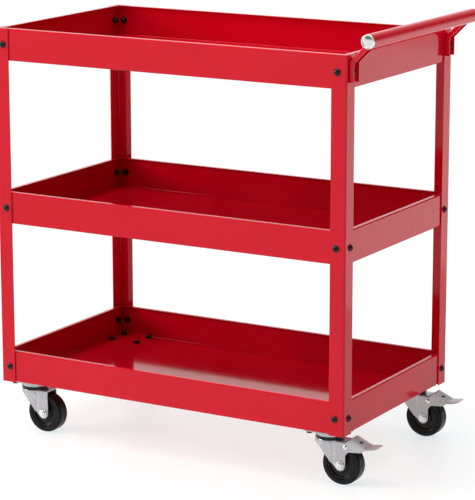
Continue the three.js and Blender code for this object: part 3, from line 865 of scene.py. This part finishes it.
def pedal_object(name):
    px, pz = PIVOT
    # the hood's top line from its toe end back to its rear edge, so that its outer side is on the right of travel
    top = smooth_path([(76.6, 75.4), (50.6, 86.9), (46.6, 87.9), (43.2, 84.6)], [3.5, 2.0])
    k = 10
    a, b = Vector(top[0]), Vector(top[1])
    top = [tuple(a.lerp(b, i / k)) for i in range(k)] + top[1:]
    rest = smooth_path([(43.2, 84.6), (34.5, 77.5), (33.5, 73.0), (34.7, 68.0), (38.0, 64.0), (71.0, 67.3), (75.2, 70.3), (76.6, 75.4)], [6, 5, 5, 4, 2.5, 3])[1:-1]
    ys = sorted({s * y for s in (-1, 1) for y in [0, 4, 8, 8.5, 8.8, 9.1, 9.4, 9.7, 10.0, 10.3, 11.5, 11.9, 12.25, 12.6, 12.95, 13.3, 13.7, 15.0, 15.4, 15.9, 16.4, 16.9, 17.4, 17.8, 18.1, 18.3, 18.4]})
    ob = make(name, hood_shell(top, rest, 18.4, 3.4, ys))
    inner_top = [(74.7, 74.0), (50.0, 84.8), (47.3, 85.6), (43.9, 82.6)]
    inner_rest = [(43.4, 96), (20, 96), (20, 50), (74.7, 50)]
    ys = sorted({s * y for s in (-1, 1) for y in [0, 12, 14.6, 15.0, 15.4, 15.8, 16.1, 16.3, 16.4]})
    n = []
    for i in range(4):
        p, q = Vector(inner_top[max(i - 1, 0)]), Vector(inner_top[min(i + 1, 3)])
        t = (q - p).normalized()
        n.append(Vector((t.y, -t.x)))
    loops = []
    for y in ys:
        e = max(0.0, (abs(y) - 14.6) / 1.8)
        d = 1.8 - 1.8 * math.sqrt(max(0.0, 1 - e * e))
        loops.append([(p[0] - m.x * d, y, p[1] - m.y * d) for p, m in zip(inner_top, n)] + [(x, y, z) for x, z in inner_rest])
    carve(ob, [Shell().add(*loft(loops))])
    carve(ob, [Shell().add(*prism([(x + 63.5, y) for x, y in rounded_rect(3.0, 5.8, 2.4, 5)], 60, 100))])
    # toe plate: a rounded tongue that rises to its tip
    tongue = []
    for i in range(15):
        t = i / 14
        x = 73.4 + 27.6 * t
        zt = 76.3 - 1.3 * math.sin(min(1, t * 2.4) * math.pi / 2) + 4.7 * max(0.0, (t - 0.12) / 0.88) ** 1.25
        zb = zt - 1.9
        w = 17.3
        if x > 90.5:
            w = 7.4 + math.sqrt(max(0.0, 10.0**2 - (x - 90.5) ** 2)) * 0.99
        tongue.append((x, zt, zb, max(w, 3.0)))
    loops = []
    for x, zt, zb, w in tongue:
        e = 0.5
        rolled = 1.1
        loops.append(
            [
                (x, -w, (zt + zb) / 2 - rolled),
                (x, -w + e, zb - rolled + 0.2),
                (x, -w + 2.6, zb),
                (x, 0, zb),
                (x, w - 2.6, zb),
                (x, w - e, zb - rolled + 0.2),
                (x, w, (zt + zb) / 2 - rolled),
                (x, w - e, zt - rolled * 0.7),
                (x, w - 2.6, zt),
                (x, 0, zt),
                (x, -w + 2.6, zt),
                (x, -w + e, zt - rolled * 0.7),
            ]
        )
    toe = make(name + "_toe", Shell().add(*loft(loops)))
    m = ob.modifiers.new("toe", "BOOLEAN")
    m.operation, m.solver, m.object = "UNION", "EXACT", toe
    settle(ob)
    me = toe.data
    bpy.data.objects.remove(toe)
    bpy.data.meshes.remove(me)
    tidy(ob, 0.03)
    settle(bevel(ob, 0.28, 2, 60), 30)
    tidy(ob, 0.012)
    return settle(ob, 30)


def rivets_object(name):
    px, pz = PIVOT
    parts = []
    for s in (-1, 1):
        parts.append((*lathe([(0, 19.75), (1.4, 19.65), (2.8, 19.25), (3.8, 18.75), (4.3, 18.4), (4.3, 18.2), (2.5, 18.2), (2.5, 14.2), (0, 14.2)], 40), (px, 0, pz), TO_X[s]))
    return joined(name, parts)


def grip_object(name):
    """Raised anti-slip bars across the hood."""
    parts = []
    tx, tz = 0.9145, -0.4045
    for i in range(7):
        s = 2.6 + 3.55 * i
        if i == 3:
            continue
        cx, cz = 50.9 + tx * s, 86.75 + tz * s
        half = 6.9
        v, f = hex_like_bar(half)
        rot = Matrix.Rotation(math.atan2(-tz, tx), 3, "Y")
        parts.append((v, f, (cx, 0, cz), rot))
    return joined(name, parts, 40)


def hex_like_bar(half):
    prof = [(-0.8, -0.5), (-0.62, 0.12), (-0.3, 0.36), (0.3, 0.36), (0.62, 0.12), (0.8, -0.5)]
    loops = []
    for y, k in ((-half, 0.35), (-half + 0.5, 0.9), (-half + 1, 1), (half - 1, 1), (half - 0.5, 0.9), (half, 0.35)):
        loops.append([(x * k, y, z if z < 0 else z * k) for x, z in prof])
    return loft(loops)


def shoe_object(name):
    a12 = math.radians(12)
    face = []
    for x, z in arc(TRAIL, WHEEL_R, WHEEL_R + 0.9, 61, 43, 12):
        dx, dz = x - PIVOT[0], z - PIVOT[1]
        face.append((PIVOT[0] + dx * math.cos(a12) - dz * math.sin(a12), PIVOT[1] + dx * math.sin(a12) + dz * math.cos(a12)))
    ob = make(name, Shell().add(*slab(face + [(70.3, 75.2), (55.2, 81.8)], -10.9, 10.9)))
    return settle(bevel(ob, 0.7, 3, 40))


plate_m, kingpin_m, shade_ring_m = plate_object("plate_m"), kingpin_object("kingpin_m"), shade_ring_object("shade_ring_m")
forks_m = {False: fork_object("fork_plain_m", False), True: fork_object("fork_braked_m", True)}
ribs_m = {False: fork_ribs("ribs_plain_m", False), True: fork_ribs("ribs_braked_m", True)}
crown_m, tyre_m, hub_m, axle_m = crown_object("crown_m"), tyre_object("tyre_m"), hub_object("hub_m"), axle_object("axle_m")
pedal_m, rivets_m, grip_m, shoe_m = pedal_object("pedal_m"), rivets_object("rivets_m"), grip_object("grip_m"), shoe_object("shoe_m")
for corner, sx, sy in CORNERS:
    lo, hi = box_mm("caster_plate_" + corner)
    K = ((lo.x + hi.x) / 2, (lo.y + hi.y) / 2, 0)
    A = (K[0] + TRAIL, K[1], WHEEL_R)
    caster, wheel, brake = "caster_" + corner, "wheel_" + corner, "brake_" + corner
    dress(place(copy_of(plate_m, "mount_plate_" + corner), K), ZINC, "frame", ["caster_plate_" + corner])
    dress(place(copy_of(kingpin_m, "kingpin_" + corner), K), BRIGHT, "frame")
    # black ring under the plate: painted shade of the raceway gap
    dress(place(copy_of(shade_ring_m, "raceway_shade_ring_" + corner), K), BLACK, "frame")
    dress(place(mount_bolts_object("plate_bolts_" + corner), K), BLACK, "frame")
    dress(place(copy_of(forks_m[sx > 0], "fork_" + corner), K), ZINC, caster, ["caster_fork_" + corner])
    dress(place(copy_of(ribs_m[sx > 0], "fork_ribs_" + corner), K), ZINC, caster)
    dress(place(copy_of(crown_m, "fork_crown_" + corner), K), ZINC, caster)
    dress(place(copy_of(axle_m, "axle_" + corner), A, Matrix.Rotation(random.uniform(0, 1), 3, "Y")), BRIGHT, caster, ["axle_bolt_" + corner])
    dress(place(copy_of(tyre_m, "tyre_" + corner), A), TYRE, wheel, ["wheel_tyre_" + corner])
    dress(place(copy_of(hub_m, "hub_" + corner), A), HUB, wheel, ["wheel_hub_" + corner])
    if sx > 0:
        dress(place(copy_of(pedal_m, "pedal_" + corner), K), PRESSED, brake, ["brake_pedal_" + corner])
        dress(place(copy_of(rivets_m, "pedal_rivets_" + corner), K), BRIGHT, brake)
        dress(place(copy_of(grip_m, "pedal_grip_" + corner), K), PRESSED, brake)
        dress(place(copy_of(shoe_m, "brake_block_" + corner), K), SHOE, brake, ["brake_shoe_" + corner])
for ob in (plate_m, kingpin_m, shade_ring_m, *forks_m.values(), *ribs_m.values(), crown_m, tyre_m, hub_m, axle_m, pedal_m, rivets_m, grip_m, shoe_m):
    me = ob.data
    bpy.data.objects.remove(ob)
    bpy.data.meshes.remove(me)

# ------------------------------------------------------------------ floor, light and camera
floor_mat, nt, sh, co = material("studio_floor")
nt.links.new(mix(nt, remap(nt, noise(nt, co, 0.6, 2), 0, 1), (0.335, 0.255, 0.255), (0.345, 0.265, 0.265)), sh.inputs["Base Color"])
sh.inputs["Roughness"].default_value = 0.5
sh.inputs["Specular IOR Level"].default_value = 0.2
sh.inputs["Emission Color"].default_value = (0.87, 0.973, 0.973, 1)
sh.inputs["Emission Strength"].default_value = 0.75
# the floor fades to an even white away from the cart
far = nt.nodes.new("ShaderNodeEmission")
far.inputs["Color"].default_value = (1, 1, 1, 1)
blend_in = nt.nodes.new("ShaderNodeMixShader")
span = nt.nodes.new("ShaderNodeVectorMath")
span.operation = "LENGTH"
nt.links.new(co, span.inputs[0])
fade = nt.nodes.new("ShaderNodeMapRange")
fade.interpolation_type = "SMOOTHSTEP"
fade.inputs["From Min"].default_value, fade.inputs["From Max"].default_value = 0.7, 2.1
nt.links.new(span.outputs["Value"], fade.inputs["Value"])
nt.links.new(fade.outputs["Result"], blend_in.inputs[0])
nt.links.new(sh.outputs[0], blend_in.inputs[1])
nt.links.new(far.outputs[0], blend_in.inputs[2])
nt.links.new(blend_in.outputs[0], nt.nodes["Material Output"].inputs[0])
bm = bmesh.new()
bmesh.ops.create_grid(bm, x_segments=8, y_segments=8, size=40)
me = bpy.data.meshes.new("studio_floor")
bm.to_mesh(me)
bm.free()
floor = bpy.data.objects.new("studio_floor", me)
floor.data.materials.append(floor_mat)
bpy.context.scene.collection.objects.link(floor)
floor.location.z = cad_lo[2] - 0.0002

world = bpy.data.worlds.new("studio")
bpy.context.scene.world = world
world.use_nodes = True
# a white backdrop on one side, a dim room with a bright ceiling on the other
wt = world.node_tree
sky = wt.nodes.new("ShaderNodeTexCoord").outputs["Generated"]
height = wt.nodes.new("ShaderNodeSeparateXYZ")
wt.links.new(sky, height.inputs[0])


def ramp(value, a, b, lo, hi):
    r = wt.nodes.new("ShaderNodeMapRange")
    r.interpolation_type = "SMOOTHSTEP"
    r.inputs["From Min"].default_value, r.inputs["From Max"].default_value = a, b
    r.inputs["To Min"].default_value, r.inputs["To Max"].default_value = lo, hi
    wt.links.new(value, r.inputs["Value"])
    return r.outputs["Result"]


def math_node(kind, a, b):
    n = wt.nodes.new("ShaderNodeMath")
    n.operation = kind
    for k, value in enumerate((a, b)):
        if isinstance(value, (int, float)):
            n.inputs[k].default_value = value
        else:
            wt.links.new(value, n.inputs[k])
    return n.outputs[0]


z = height.outputs["Z"]
toward = wt.nodes.new("ShaderNodeVectorMath")
toward.operation = "DOT_PRODUCT"
toward.inputs[1].default_value = (-0.49, 0.84, 0)
wt.links.new(sky, toward.inputs[0])
backdrop = ramp(z, 0.26, 0.6, 1.2, 0.5)
room = math_node("MAXIMUM", ramp(z, 0.025, 0.10, 1.0, 0.14), ramp(z, 0.5, 0.8, 0.14, 0.75))
side = ramp(toward.outputs["Value"], 0.55, 0.86, 0.0, 1.0)
total = math_node("ADD", math_node("MULTIPLY", side, backdrop), math_node("MULTIPLY", math_node("SUBTRACT", 1.0, side), room))
wt.nodes["Background"].inputs["Color"].default_value = (1, 1, 1, 1)
wt.links.new(total, wt.nodes["Background"].inputs["Strength"])


def softbox(name, at, target, size, power):
    light = bpy.data.lights.new(name, "AREA")
    light.shape, light.size, light.size_y, light.energy = "RECTANGLE", size[0], size[1], power
    ob = bpy.data.objects.new(name, light)
    bpy.context.scene.collection.objects.link(ob)
    ob.location = at
    ob.rotation_euler = (Vector(target) - Vector(at)).to_track_quat("-Z", "Y").to_euler()
    return ob


softbox("overhead", (-0.6, -0.8, 4.2), (0, 0, 0.4), (4.5, 3.5), 125)
softbox("front_left", (-4.6, -2.9, 2.2), (0, 0, 0.4), (2.0, 2.0), 175)
card = softbox("floor_card", (2.4, 2.9, 0.02), (2.4, 2.9, 1), (3.0, 4.0), 24)
card.visible_camera = False

cam = bpy.data.cameras.new("main_view")
cam.sensor_width = 36
cam.lens = 170.52886
cam.clip_end = 200
eye = bpy.data.objects.new("main_view", cam)
right, up, back = Vector((0.86336, 0.5046, -0.00097)), Vector((-0.11043, 0.19082, 0.97539)), Vector((0.49237, -0.842, 0.22047))
eye.matrix_world = Matrix.Translation((2.1973, -3.7462, 1.3389)) @ Matrix((right, up, back)).transposed().to_4x4()
bpy.context.scene.collection.objects.link(eye)
bpy.context.scene.camera = eye
bpy.context.scene.view_settings.view_transform = "Standard"
bpy.context.scene.view_settings.look = "None"
